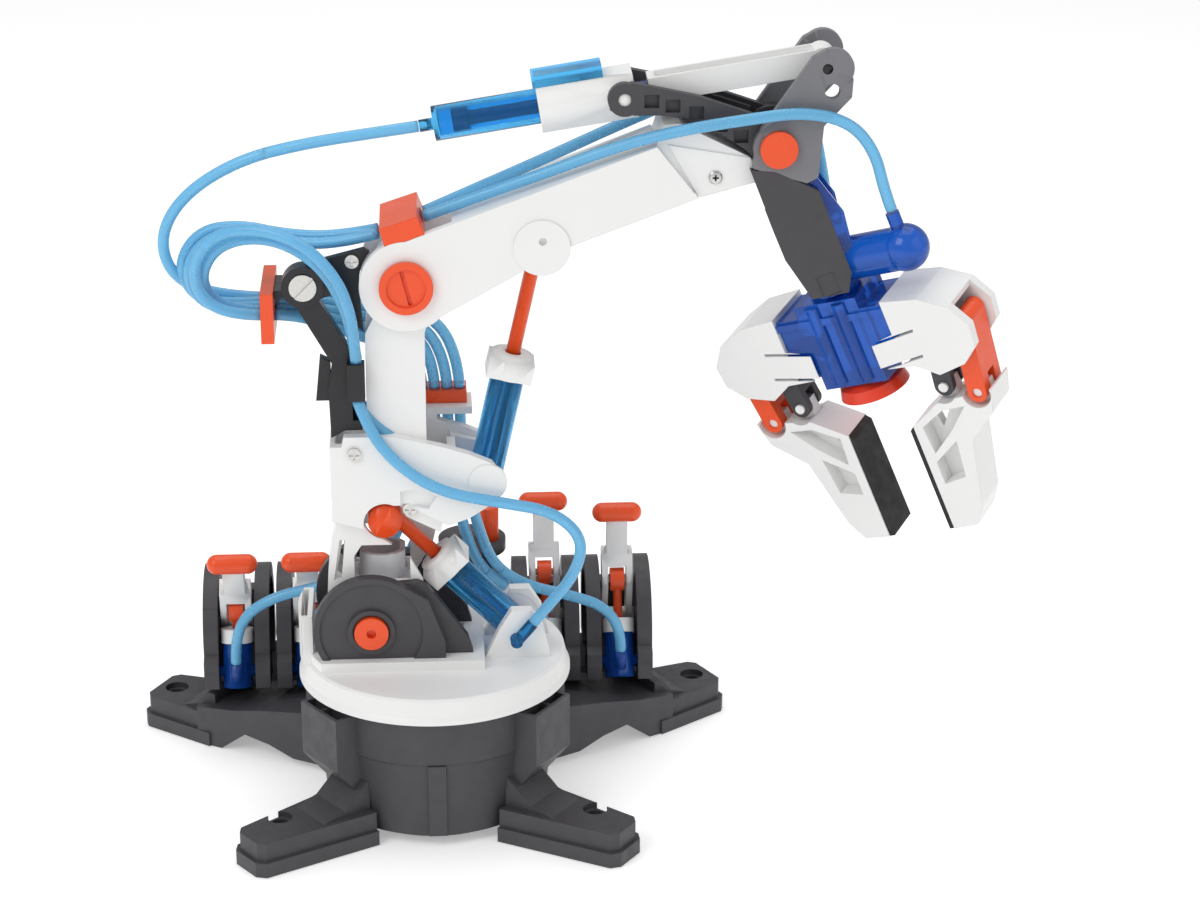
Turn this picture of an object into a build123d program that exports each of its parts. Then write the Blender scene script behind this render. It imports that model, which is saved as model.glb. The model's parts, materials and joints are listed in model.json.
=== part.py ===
from build123d import *
import math
import os

# Hydraulic arm kit. Millimetres. The origin is on the ground under the turntable's
# axis, +Z is up, +X is where the arm reaches and +Y is where the lever console stands.

# ---- driving dimensions ----
DRUM_R = 48.5             # drum wall at the top
DRUM_LOW_R = 45.0         # drum wall above the bottom bevel
DRUM_FOOT_R = 37.0        # drum at the ground
DRUM_TOP = 56.0
BOSS_TURNS = (-35, 35, 145, 215)  # directions of the corner pockets
TABLE_R = 55.0            # turntable rim
TABLE_Z0, TABLE_Z1 = 57.0, 68.0
PLATFORM_Z = 72.0         # raised pads that the bearing blocks stand on
BEARING_FACE = 22.0       # outer face of the bearing blocks, from the middle plane
ARM_HALF = 12.6           # half width of the lower arm between the bearing blocks
FORK_IN, FORK_OUT = 13.2, 17.0    # upper arm's elbow cheeks
HEAD_IN, HEAD_OUT = 14.3, 18.0    # head cheeks
PIN_R, RUN = 3.0, 0.05    # hinge pins, and their running clearance
GAP = 0.4                 # between parts of different bodies
HOSE_R = 2.25
ROD_R = 2.85
BARREL_R = 6.8

# ---- joint centres in the arm's plane (x, z) ----
SHOULDER = (-24.9, 84.0)
ELBOW = (-7.9, 226.0)
WRIST = (134.1, 278.5)
SHOULDER_EYE, SHOULDER_TRUNNION = (-18.5, 128.5), (33.0, 76.0)
EYE_DISC_R = 6.6          # the shoulder rod's wide eye
ELBOW_EYE, ELBOW_TRUNNION = (44.6, 243.3), (22.3, 145.0)
HEAD_PIN, WRIST_TRUNNION = (152.0, 309.0), (76.0, 297.0)
ARM_RISE = 19.6           # upper arm above the horizontal, degrees
HAND_TILT = 22.6          # hand axis from the vertical, degrees
HAND_YAW = 33.0           # gripper turned about the hand axis at rest, degrees

# ---- console ----
CONSOLE_X = -2.0
STATIONS = (-84.0, -53.0, -22.0, 48.0, 79.0)
LEVER_REST = (36.7, 36.5, -22.0, -13.0, 6.0)      # forward of upright, degrees
LEVER_PIVOT = (80.0, 44.0)                        # y, z
CONTROL_TRUNNION = (57.0, 32.0)
LEVER_LONG = 50.0
ARCH_R = 26.0
MODULE_W, SLOT_W = 28.0, 15.4
PORT_LEAN = {-84.0: 5.0, -53.0: 5.0, -22.0: -12.0, 48.0: 5.0, 79.0: 5.0}   # forward, degrees
CRANK = (17.0, 84.0, 78.0)

os.makedirs("parts", exist_ok=True)


def save(name, *solids):
    shape = Compound(children=list(solids)) if len(solids) > 1 else solids[0]
    export_step(shape, f"parts/{name}.step")


def plate(outline, y0, y1, corner=0.0):
    """A plate in the arm's plane: an outline of (x, z) points between two y values."""
    sketch = Plane.XZ * make_face(Polyline(*outline, close=True))
    if corner:
        sketch = fillet(sketch.vertices(), corner)
    return Pos(0, y0, 0) * extrude(sketch, amount=y1 - y0, dir=(0, 1, 0))


def side(outline, x0, x1, corner=0.0):
    """A plate seen from the side: an outline of (y, z) points between two x values."""
    sketch = Plane.YZ * make_face(Polyline(*outline, close=True))
    if corner:
        sketch = fillet(sketch.vertices(), corner)
    return Pos(x0, 0, 0) * extrude(sketch, amount=x1 - x0, dir=(1, 0, 0))


def along_y(x, z, r, y0, y1):
    """A round bar along Y."""
    return Pos(x, (y0 + y1) / 2, z) * Rot(90, 0, 0) * Cylinder(r, y1 - y0)


def along_x(y, z, r, x0, x1):
    """A round bar along X."""
    return Pos((x0 + x1) / 2, y, z) * Rot(0, 90, 0) * Cylinder(r, x1 - x0)


def upright(x, y, r, z0, z1):
    """A round bar along Z."""
    return Pos(x, y, (z0 + z1) / 2) * Cylinder(r, z1 - z0)


def block(x0, x1, y0, y1, z0, z1):
    return Pos((x0 + x1) / 2, (y0 + y1) / 2, (z0 + z1) / 2) * Box(x1 - x0, y1 - y0, z1 - z0)


def link(a, b, r, y0, y1):
    """A plate with two round ends, centred on the points a and b."""
    dx, dz = b[0] - a[0], b[1] - a[1]
    long = math.hypot(dx, dz)
    nx, nz = -dz / long * r, dx / long * r
    outline = [(a[0] + nx, a[1] + nz), (b[0] + nx, b[1] + nz),
               (b[0] - nx, b[1] - nz), (a[0] - nx, a[1] - nz)]
    return plate(outline, y0, y1) + along_y(*a, r, y0, y1) + along_y(*b, r, y0, y1)


def mirrored(shape):
    return mirror(shape, about=Plane.XZ)


def aim(start, end):
    """Places local +Z on the line from start to end in the arm's plane."""
    turn = math.degrees(math.atan2(end[0] - start[0], end[1] - start[1]))
    return Pos(start[0], 0, start[1]) * Rot(0, turn, 0)


def distance(a, b):
    return math.hypot(b[0] - a[0], b[1] - a[1])


# ---- base: drum, feet, wings, console ----
DRUM_SIDE = [(DRUM_FOOT_R, 0), (DRUM_LOW_R, 4.6), (DRUM_R, 37), (DRUM_R + 0.8, 38),
             (DRUM_R + 0.8, DRUM_TOP)]


def drum_outside():
    """The drum's whole outer form, to cut away from what is fitted against it."""
    return revolve(Plane.XZ * make_face(Polyline(
        (0, 0), *DRUM_SIDE, (0, DRUM_TOP), close=True)), Axis.Z)


def corner_boss():
    """One corner pocket of the drum, built along +X."""
    boss = plate([(42, 15), (46.2, 19), (57, 32.5), (57, 55), (42, 55)], -12.5, 12.5)
    for y0, y1 in ((-10.9, -0.7), (0.7, 10.9)):
        boss -= block(51.0, 55.4, y0, y1, 36, 60)
    return boss


def base_drum():
    """The drum with its spindle bearing and front rib, and the four corner pockets."""
    inner = DRUM_LOW_R - 3
    drum = revolve(Plane.XZ * make_face(Polyline(
        (0, 3.2), (DRUM_FOOT_R - 1, 3.2), (DRUM_FOOT_R - 1, 0), *DRUM_SIDE,
        (inner, DRUM_TOP), (inner, 6.2), (0, 6.2), close=True)), Axis.Z)
    drum += upright(0, 0, 9, 6, 52)
    drum -= upright(0, 0, 6 + RUN, 12, 60)
    drum += side([(-38.2, 0.6), (-46.4, 5), (-49.8, 37.5), (-47, 37.5), (-44, 8),
                  (-37, 1.4)], -3.6, 3.6)
    boss = corner_boss() - drum_outside()
    return drum, *[Rot(0, 0, turn) * boss for turn in BOSS_TURNS]


def bottom_cover():
    """The flat plate that closes the drum and rests on the ground."""
    cover = upright(0, 0, DRUM_FOOT_R - 1.3, 0, 2.9)
    for turn in range(3):
        cover -= Rot(0, 0, 120 * turn + 30) * upright(26, 0, 2.2, -1, 4)
    return cover


def foot(tip, hole, width, root):
    """A foot from the point root to the point tip in plan, with a bolt hole."""
    dx, dy = tip[0] - root[0], tip[1] - root[1]
    long, turn = math.hypot(dx, dy), math.degrees(math.atan2(dy, dx))
    flange = Polyline((0, -width / 2 - 4), (long - 3, -width / 2 + 1.5),
                      (long, -width / 2 + 5), (long, width / 2 - 5),
                      (long - 3, width / 2 - 1.5), (0, width / 2 + 4), close=True)
    upper = Polyline((0, -width / 2 - 2.5), (long - 4, -width / 2 + 3),
                     (long - 1.5, -width / 2 + 6), (long - 1.5, width / 2 - 6),
                     (long - 4, width / 2 - 3), (0, width / 2 + 2.5), close=True)
    body = extrude(make_face(flange), 6.2) + extrude(make_face(upper), 14)
    body += side_ramp(long * 0.42, width - 4)
    body = Pos(*root, 0) * Rot(0, 0, turn) * body
    return body - upright(*hole, 3.4, -1, 20) - upright(*hole, 5.0, 11.5, 20)


def side_ramp(long, width):
    """The raised end of a foot, falling away from the drum."""
    return plate([(0, 10), (long, 10), (long, 14), (long * 0.55, 16.5), (0, 27)],
                 -width / 2, width / 2)


FOOT_HOLE = (62.9, -43.5)
WING_HOLE = (112.4, 79.8)


def front_feet():
    near = foot((76, -61), FOOT_HOLE, 24, (33, -30)) - drum_outside()
    near -= Rot(0, 0, BOSS_TURNS[0]) * corner_boss()
    return near, mirror(near, about=Plane.YZ)


def rear_wings():
    root, tip = (40, 37), (121, 84)
    wing = foot(tip, WING_HOLE, 30, (88, 66))
    dx, dy = tip[0] - root[0], tip[1] - root[1]
    turn = math.degrees(math.atan2(dy, dx))
    web = plate([(0, 3), (14, 3), (26, 7), (38, 9), (50, 0), (62, 0), (62, 17), (44, 19),
                 (30, 22), (0, 27)], -17, 17)
    wing += Pos(*root, 0) * Rot(0, 0, turn) * web
    wing -= upright(*WING_HOLE, 3.4, -1, 20)
    wing -= drum_outside()
    wing -= Rot(0, 0, BOSS_TURNS[1]) * corner_boss()
    wing += upright(85.5, 79, 7, 15, 21)
    wing -= block(-120, 120, 46, 120, 22.05, 60) + block(-35, 34.05, 46, 102, 0, 60)
    return wing, mirror(wing, about=Plane.YZ)


def console_base():
    """The beam behind the drum that carries the lever housings and the crank's post."""
    beam = block(CONSOLE_X - 97, CONSOLE_X + 95, 66, 100, 22.4, 26)
    beam += block(-34, 34, 47, 66, 10, 20) + block(-34, 34, 66, 100, 10, 26)
    beam -= drum_outside()
    x, y, z = CRANK
    beam += block(x - 13, x + 13, y - 13, y + 14, 26, 60) + upright(x, y, 9, 60, z - 3.4)
    beam -= upright(x, y, 3.5 + RUN, z - 22, z + 5)
    return beam


def lever_housing(x):
    """One lever's arched housing, open at the front and top for the lever to swing."""
    y, z = LEVER_PIVOT
    hw = MODULE_W / 2
    arch = along_x(y, z, ARCH_R, x - hw, x + hw)
    arch += side([(50, 26.4), (106, 26.4), (106, z), (y - ARCH_R * 0.8, z + 16),
                  (60, z), (50.5, 38)], x - hw, x + hw)
    arch -= block(x - 40, x + 40, 0, 200, -10, 26.4)
    slot = along_x(y, z, ARCH_R + 3, x - SLOT_W / 2, x + SLOT_W / 2)
    slot += block(x - SLOT_W / 2, x + SLOT_W / 2, 40, y + 10, 20, z + 30)
    arch -= slot - block(x - 40, x + 40, y + 17, 120, 0, z + 8)
    arch -= along_x(y, z, 20, x + SLOT_W / 2 + 2.6, x + hw + 1)
    arch -= along_x(y, z, 20, x - hw - 1, x - SLOT_W / 2 - 2.6)
    arch -= along_x(y, z, PIN_R + RUN, x - hw - 1, x + hw + 1)
    trunnion = along_x(*CONTROL_TRUNNION, 7, x - hw, x - SLOT_W / 2)
    trunnion += block(x - hw, x - SLOT_W / 2, 50, 64, 26.4, 32)
    trunnion += mirror(trunnion, about=Plane.YZ.offset(x))
    arch += trunnion - block(x - 40, x + 40, 40, 80, 20, 26.4)
    return arch - along_x(*CONTROL_TRUNNION, 2.5 + RUN, x - hw - 1, x + hw + 1)


def crank():
    x, y, z = CRANK
    disc = upright(x, y, 14.5, z - 3, z + 2) + upright(x, y, 3.5, z - 20, z)
    disc += upright(x, y, 6, z + 2, z + 3.5)
    knob = upright(x + 7.5, y - 3, 4.0, z + 2, z + 17)
    return disc, knob


# ---- control levers ----
def tilted(x, angle):
    """Places a lever built upright at the origin on its pivot, leaning forward."""
    return Pos(x, *LEVER_PIVOT) * Rot(angle, 0, 0)


EYE_ANGLE, EYE_R = 14.0, 20.6


def lever(x, angle):
    """A white yoke with an orange T handle. Forward is -Y."""
    eye = (-EYE_R * math.sin(math.radians(EYE_ANGLE)), EYE_R * math.cos(math.radians(EYE_ANGLE)))
    long = math.hypot(*eye)
    nx, nz = eye[1] / long * 3.6, -eye[0] / long * 3.6
    yoke = side([(nx, nz), (eye[0] + nx, eye[1] + nz), (eye[0] - nx, eye[1] - nz), (-nx, -nz)],
                -6.6, 6.6)
    yoke += along_x(0, 0, 4.2, -6.6, 6.6) + along_x(*eye, 3.6, -6.6, 6.6)
    yoke += side([(eye[0] - 3.6, eye[1]), (-4.6, 30), (-3, LEVER_LONG - 3), (3, LEVER_LONG - 3),
                  (3.6, 26), (eye[0] + 3.6, eye[1] - 3)], -6.6, 6.6)
    yoke -= block(-3.9, 3.9, -20, 20, -20, 26.5)
    yoke -= block(-10, -4.4, -20, 20, 32, 60) + block(4.4, 10, -20, 20, 32, 60)
    yoke += along_x(0, 0, PIN_R, -11.5, 11.5)
    yoke += along_x(*eye, 1.5, -5, 5)
    handle = along_x(0, LEVER_LONG, 4.2, -6.4, 6.4)
    handle += Pos(-6.4, 0, LEVER_LONG) * Sphere(4.2) + Pos(6.4, 0, LEVER_LONG) * Sphere(4.2)
    yoke -= along_x(0, LEVER_LONG, 4.2, -6.4, 6.4)
    return tilted(x, angle) * yoke, tilted(x, angle) * handle


def control_line(angle):
    """The rod eye of a lever at an angle, and its distance and lean from the trunnion."""
    turn = math.radians(EYE_ANGLE + angle)
    eye = (LEVER_PIVOT[0] - EYE_R * math.sin(turn), LEVER_PIVOT[1] + EYE_R * math.cos(turn))
    dy, dz = eye[0] - CONTROL_TRUNNION[0], eye[1] - CONTROL_TRUNNION[1]
    return math.hypot(dy, dz), math.degrees(math.atan2(dy, dz))


def control_cylinder(x, angle):
    """The blue barrel with its trunnion pins, the white collar, the rod and its piston."""
    reach, lean = control_line(angle)
    place = Pos(x, *CONTROL_TRUNNION) * Rot(-lean, 0, 0)
    barrel = Pos(0, 0, 5) * Cylinder(6.2, 24)
    port = Pos(0, -8.2, -3) * Rot(lean + PORT_LEAN[x], 0, 0) * Pos(0, 0, 4) * Cylinder(2.4, 8)
    barrel += along_x(0, 0, 2.5, -13.5, 13.5) + port
    barrel -= Pos(0, 0, 5.75) * Cylinder(4.9, 22.51)
    collar = Pos(0, 0, 15.2) * Cylinder(6.9, 6) - Pos(0, 0, 14) * Cylinder(6.24, 6.04)
    collar -= Pos(0, 0, 15) * Cylinder(2.3, 12)
    piston_z = reach - 28.9
    rod = Pos(0, 0, (piston_z + reach - 3) / 2) * Cylinder(1.9, reach - 3 - piston_z)
    rod += Pos(0, 0, reach) * Rot(0, 90, 0) * (Cylinder(5.0, 6) - Cylinder(3.3, 8))
    piston = Pos(0, 0, piston_z) * Cylinder(4.5, 2)
    rod -= piston
    return place * barrel, place * collar, place * rod, place * piston


# ---- turntable ----
def turntable():
    """The white disc with its bevelled rim, its raised pads and the well under the arm."""
    disc = revolve(Plane.XZ * make_face(Polyline(
        (0, TABLE_Z0 - 0.5), (DRUM_R - 4, TABLE_Z0 - 0.5), (TABLE_R - 3.5, TABLE_Z0 - 0.5),
        (TABLE_R, TABLE_Z0 + 1), (TABLE_R, TABLE_Z0 + 2.8), (TABLE_R - 0.8, TABLE_Z0 + 4),
        (TABLE_R - 2.2, TABLE_Z1 - 0.8), (TABLE_R - 3.2, TABLE_Z1), (0, TABLE_Z1),
        close=True)), Axis.Z)
    disc += upright(0, 0, 6, 14, TABLE_Z0)
    pad = block(-50, 20, -BEARING_FACE - 3, BEARING_FACE + 3, TABLE_Z1 - 1, PLATFORM_Z)
    disc += pad & upright(0, 0, TABLE_R - 3.4, 60, 80)
    rear = block(-55, -48.5, -15, 15, TABLE_Z1 - 1, 88) - block(-53, -50.5, -13, 13, 71, 90)
    disc += rear & upright(0, 0, TABLE_R - 0.5, 60, 90)
    disc -= block(-48, 12, -ARM_HALF - 0.6, ARM_HALF + 0.6, 60, 80)
    for y0, y1 in ((-14, -8.6), (8.6, 14)):
        cheek = plate([(20, 67), (47, 67), (44, 80), (39, 88), (31, 88), (26, 80)], y0, y1)
        disc += cheek & upright(0, 0, TABLE_R - 1, 60, 100)
    disc -= along_y(*SHOULDER_TRUNNION, 2.5 + RUN, -15, 15)
    return disc - along_y(*SHOULDER_TRUNNION, 9.8, -8.9, 8.9)


def bearing_blocks():
    """Half-moon blocks on each side that hold the shoulder pin, with ribbed wedge backs."""
    x, z = SHOULDER
    moon = along_y(x, z, 23, -BEARING_FACE, -BEARING_FACE + 4.6)
    moon += plate([(x - 19.4, PLATFORM_Z), (4.5, PLATFORM_Z), (4.5, 79), (-2, 97), (-10, 102),
                   (x - 8, z + 18), (x - 19.4, z)], -BEARING_FACE, -BEARING_FACE + 4.6)
    moon -= block(-80, 40, -40, 40, 40, PLATFORM_Z)
    moon -= along_y(x, z, 20.5, -BEARING_FACE - 1, -BEARING_FACE + 1)
    moon += along_y(x, z, 9.5, -BEARING_FACE - 0.6, -BEARING_FACE + 2)
    moon -= along_y(x, z, 7.4, -BEARING_FACE - 2, -BEARING_FACE + 1.2)
    wedge = plate([(x - 17, PLATFORM_Z), (15.5, PLATFORM_Z), (13.5, 79), (-2, 101),
                   (-6, 103), (x - 9, z + 17), (x - 17, z + 8)],
                  -BEARING_FACE + 4.6, -ARM_HALF - 0.6)
    for rib in range(3):
        shift = rib * 5.6
        wedge -= plate([(1.5 + shift, 99 - shift * 1.35), (4.7 + shift, 94.8 - shift * 1.35),
                        (-0.5 + shift, 90.5 - shift * 1.35), (-3.7 + shift, 94.5 - shift * 1.35)],
                       -BEARING_FACE + 6, -ARM_HALF - 2)
    near = (moon + wedge) - along_y(x, z, PIN_R + 1, -30, 0)
    return near, mirrored(near)


def shoulder_pin():
    """The orange pin pressed in the bearing blocks, with a capped end on each side."""
    pin = along_y(*SHOULDER, PIN_R + 1, -BEARING_FACE + 1.2, BEARING_FACE - 1.2)
    cap = along_y(*SHOULDER, 6.8, -BEARING_FACE - 2.2, -BEARING_FACE + 1.2)
    cap -= along_y(*SHOULDER, 1.9, -BEARING_FACE - 3, -BEARING_FACE + 0.2)
    return pin + cap + mirrored(cap)


# ---- lower arm ----
def lower_shells():
    """Two half shells: the foot round the shoulder pin, the arched foot and the column."""
    x, z = SHOULDER
    foot_outline = [(x - 11, z + 4), (x - 9, z - 8), (x + 9, z - 8), (x + 12, z + 4), (0, 108),
                    (6, 134), (-2, 150), (-36, 150), (-37, 131), (-41.5, 106), (-42, 97)]
    half = plate(foot_outline, -ARM_HALF, -0.1)
    half += plate([(-24.6, 146), (-1.4, 146), (-1.2, 206), (ELBOW[0] + 10, 216), (-19, 216),
                   (-24.2, 206)], -ARM_HALF, -0.1)
    half += along_y(*ELBOW, 13.5, -ARM_HALF, -0.1)
    half -= plate([(-33, 101.4), (-38, 106), (-33.4, 131), (-33.4, 143), (12, 143),
                   (12, 101.4)], -ARM_HALF + 2.4, 1)
    half -= plate([(-20, 90), (12, 80), (12, 143), (-20, 143)], -9.2, 1) - along_y(
        *SHOULDER, 20.5, -10, 2)
    half -= plate([(-22.2, 143), (-3.6, 143), (-3.6, 206), (-22, 206)], -ARM_HALF + 2.4, 1)
    half -= plate([(-31, 102), (-9, 102), (-9, 113), (-12.4, 117.6), (-28, 117.6), (-31, 113)],
                  -ARM_HALF - 1, -ARM_HALF + 3)
    half -= plate([(-39.2, 103), (-36.3, 103), (-34.6, 120), (-36.6, 120)],
                  -ARM_HALF - 1, -ARM_HALF + 3)
    half -= along_y(*SHOULDER, PIN_R + 1 + RUN, -30, 5)
    half -= along_y(*ELBOW, PIN_R + 1, -30, 5)
    far = mirrored(half) + along_y(*SHOULDER_EYE, 2.0, -9.6, ARM_HALF - 1)
    near = half - along_y(*SHOULDER_EYE, EYE_DISC_R + 1.7, -20, 0)
    near -= plate([(-25, 124), (-18.5, 134), (12, 118), (12, 95), (-2, 98), (-9.5, 113)], -20, 0)
    return near - hose(HOSES["hoses_arm"][6]), far


def lower_core():
    """The pale insert behind the arched window, with the hub tube on the shoulder pin."""
    core = upright(-20, 0, 10.0, 101.5, 112) - upright(-20, 0, 8.0, 90, 120)
    core -= block(-40, 0, -4.2, 4.2, 104, 120)
    return core + upright(-20, 0, 9.9, 101.5, 104)


def elbow_bracket():
    """The white band round the arm: it holds the elbow cylinder and the shoulder rod's pin."""
    outline = [(-38.6, 147), (-33.5, 165), (-14, 165), (4, 160.5), (15, 157), (24, 153),
               (29, 146), (25, 136.5), (15, 130), (6.5, 127), (-2, 131.5), (-8, 136),
               (-18, 136), (-26, 126), (-39.2, 129.6)]
    half = plate(outline, -17, -ARM_HALF - 0.05)
    half -= along_y(*SHOULDER_EYE, EYE_DISC_R + 1.7, -20, -ARM_HALF)
    half -= plate([(-12, 136), (-1, 134.5), (2, 139.5), (-7, 142.5), (-12, 142)], -17.1, -15)
    half += plate([(-29.5, 161.5), (-14, 161.5), (-14, 165), (-33.5, 165)], -13, -12.6)
    half += block(-39.2, -37.2, -17, 0, 139, 161) + block(-37.3, -34, -17, -12.65, 139, 161)
    half += along_y(*ELBOW_TRUNNION, 7.6, -17.6, -16)
    half += plate([(6, 138), (26, 141), (28, 146), (22, 152), (8, 156)], -ARM_HALF - 0.1, -8.6)
    tie = block(6.5, 10, -8.7, 0, 139, 155)
    half = half + tie - along_y(*ELBOW_TRUNNION, 2.5 + RUN, -16, 5)
    platform = block(-13, 17, 12.7, 30, 163, 165.9) + block(-6, 3, 12.7, 17, 154, 164)
    platform -= block(-10.6, 15, 19, 25, 160, 168)
    return half + mirrored(half) + platform - hose(HOSES["hoses_arm"][6])


BRACKET_TOP = [(-40, 130), (-40, 162), (-33, 166), (-20, 166), (-20, 130)]


def hose_guide():
    """The black bar behind the lower arm, its slotted head and its triangular gusset."""
    bar = link((-47.5, 221), (-32.5, 194), 4.4, -11.5, -5.5)
    bar += plate([(-37, 196), (-28, 196), (-26.2, 168), (-26.2, 151), (-36.2, 151), (-38.5, 163),
                  (-39, 182)], -11.5, -5.5)
    bar += along_y(-47.5, 225, 8.2, -12.5, -4.5)
    bar += plate([(-47.5, 233), (-24, 239), (-19, 236), (-26, 222), (-24.8, 206), (-29, 209),
                  (-33, 222), (-47.5, 217)], -9, -5.5)
    bar += plate([(-44, 178), (-38, 178), (-38, 194), (-42, 196)], -10, -5.5)
    bar -= along_y(-47.5, 225, 5.4, -14, -11.2)
    bar += block(-31.5, -24.7, -17.8, -11.4, 180, 195)
    bar -= upright(-27.9, -14.6, HOSE_R, 170, 200) + upright(-27.9, -10.2, HOSE_R, 170, 200)
    bar += block(-59, -45, -6.5, 14, 219, 222) + block(-50, -45, -6.5, -4.5, 219, 226)
    return bar - along_y(*ELBOW, FORK_OUT + 1, -30, 30) - plate(BRACKET_TOP, -30, 0)


def hose_combs():
    """Orange combs that the hoses are pressed into."""
    rear = block(-64, -59, -14, 24, 203, 223)
    front = block(-11, 15, 17.6, 30, 166, 171)
    for row in range(5):
        rear -= along_x(-2 + 5.5 * row, 211, HOSE_R, -70, -50)
        front -= upright(-7.8 + 5 * row, 22, HOSE_R, 150, 180)
    return rear, front


# ---- upper arm ----
def upper_shells():
    """Two half shells: the round elbow cheek, the beam and the boss for the elbow rod."""
    half = along_y(*ELBOW, 18, -FORK_OUT, -FORK_IN)
    half += plate([(-16, 241), (88, 279.6), (104, 259.2), (54, 240.5), (38, 232), (3, 212.5)],
                  -FORK_OUT, -FORK_IN)
    half += plate([(10, 250.3), (88, 279.6), (89.6, 277), (11, 247.4)], -FORK_OUT, -0.1)
    half += plate([(66, 245.2), (104, 259.2), (102.6, 261.4), (65, 247.4)], -FORK_OUT, -0.1)
    half += along_y(44.2, 240.8, 11, -FORK_OUT - 0.7, -FORK_IN)
    half -= plate(END_OUTLINE, -FORK_IN + 0.05, 1)
    half += along_y(*ELBOW_EYE, 2.0, -FORK_IN - 1, -0.1)
    half -= along_y(*ELBOW_EYE, 1.5, -FORK_OUT - 2, -FORK_OUT + 1)
    half -= along_y(*ELBOW, PIN_R + 1 + RUN, -30, 0)
    return half, mirrored(half)


END_OUTLINE = [(87, 276), (90.5, 287), (97, 287.5), (124, 274), (127, 264.5), (106, 258.8),
               (99, 258.5)]


def end_block():
    """The narrower white end of the upper arm, screwed between the shells."""
    block_ = plate(END_OUTLINE, -FORK_IN + 0.1, FORK_IN - 0.1, 1.2)
    block_ -= plate([(95, 262), (106, 262), (118, 266), (116, 272), (96, 280)], -10.4, 10.4)
    block_ += plate([(104.2, 259), (127, 264.5), (124, 274), (92.5, 279.5)], -13.8, -FORK_IN + 0.1)
    block_ += plate([(104.2, 259), (127, 264.5), (124, 274), (92.5, 279.5)], FORK_IN - 0.1, 13.8)
    return block_ - along_y(*WRIST, 10.6, -20, 20)


def wrist_bracket():
    """The dark truss at the arm's end: it holds the wrist pin and the cylinder's trunnions."""
    half = plate([(70.5, 293), (72, 301.5), (79, 303.5), (104, 298), (130, 289), (141, 284),
                  (141, 273), (128, 271), (122, 277), (104, 289.2), (89, 291), (80, 291)],
                 -13.4, -9.6)
    half += along_y(*WRIST, 10.2, -13.8, 0) + along_y(*WRIST_TRUNNION, 6.4, -13.4, -9.6)
    for x, z in ((86, 296.5), (94, 294.6), (103, 291.8), (112, 286.8), (120, 282.4)):
        half -= plate([(x - 2.6, z - 2.6), (x + 3, z - 2.6), (x + 3, z + 2.4), (x - 2.6, z + 2.4)],
                      -14, -11)
    half += plate([(98, 288.6), (104, 296), (126, 288.6), (124, 281), (112, 283)], -9.7, 0)
    half -= along_y(*WRIST_TRUNNION, 2.5 + RUN, -20, 0)
    half -= plate([(60, 291.2), (152, 284.9), (152, 330), (60, 330)], -6.8, 1)
    half -= plate([(100, 258), (127, 264.6), (124.2, 274.2), (97, 287.7), (90.5, 287.2),
                   (87, 276)], -13.5, 1)
    return half + mirrored(half) - along_y(*WRIST, PIN_R, -30, 30)


def hose_clip():
    """The orange clip over the hoses near the elbow."""
    clip = plate([(-15.5, 241.3), (-17.6, 249.2), (-3.2, 254.0), (-0.4, 246.9)],
                 -FORK_OUT, FORK_OUT)
    clip -= Pos(-9.5, 0, 246.6) * Rot(0, -ARM_RISE, 0) * along_x(-3, 0, HOSE_R, -20, 20)
    clip -= Pos(-9.5, 0, 246.6) * Rot(0, -ARM_RISE, 0) * along_x(3.5, 0, HOSE_R, -20, 20)
    near, far = upper_shells()
    return clip - near - far


def elbow_pin():
    """The orange pin through the elbow, with a slotted cap on each side."""
    pin = along_y(*ELBOW, PIN_R + 1, -FORK_OUT - 0.6, FORK_OUT + 0.6)
    cap = along_y(*ELBOW, 10.4, -FORK_OUT - 2.8, -FORK_OUT - GAP)
    cap -= along_y(*ELBOW, 7.6, -FORK_OUT - 3, -FORK_OUT - 1.8)
    cap -= Pos(ELBOW[0], -FORK_OUT - 2, ELBOW[1]) * Rot(0, -14, 0) * Box(1.5, 3, 14)
    return pin + cap + mirrored(cap)


def wrist_pin():
    pin = along_y(*WRIST, PIN_R, -HEAD_OUT - 1, HEAD_OUT + 1)
    cap = along_y(*WRIST, 7.2, -HEAD_OUT - 2.6, -HEAD_OUT - GAP)
    return pin + cap + mirrored(cap)


def arm_screws():
    """Screw heads on the lower arm and the silver slotted pin of the hose guide."""
    screws = []
    for x, z, y in ((-29.7, 158.1, -17), (-28.5, 234.4, -9), (-8.6, 133, -ARM_HALF)):
        head = along_y(x, z, 2.7, y - 1.4, y)
        cross = Box(0.8, 1, 4) + Box(4, 1, 0.8)
        screws.append(head - Pos(x, y - 1.4, z) * cross)
    pin = along_y(-47.5, 225, 5.3, -13.2, -11.2)
    screws.append(pin - Pos(-47.5, -13.2, 225) * Rot(0, 45, 0) * Box(1.2, 1.4, 12))
    return screws


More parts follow.
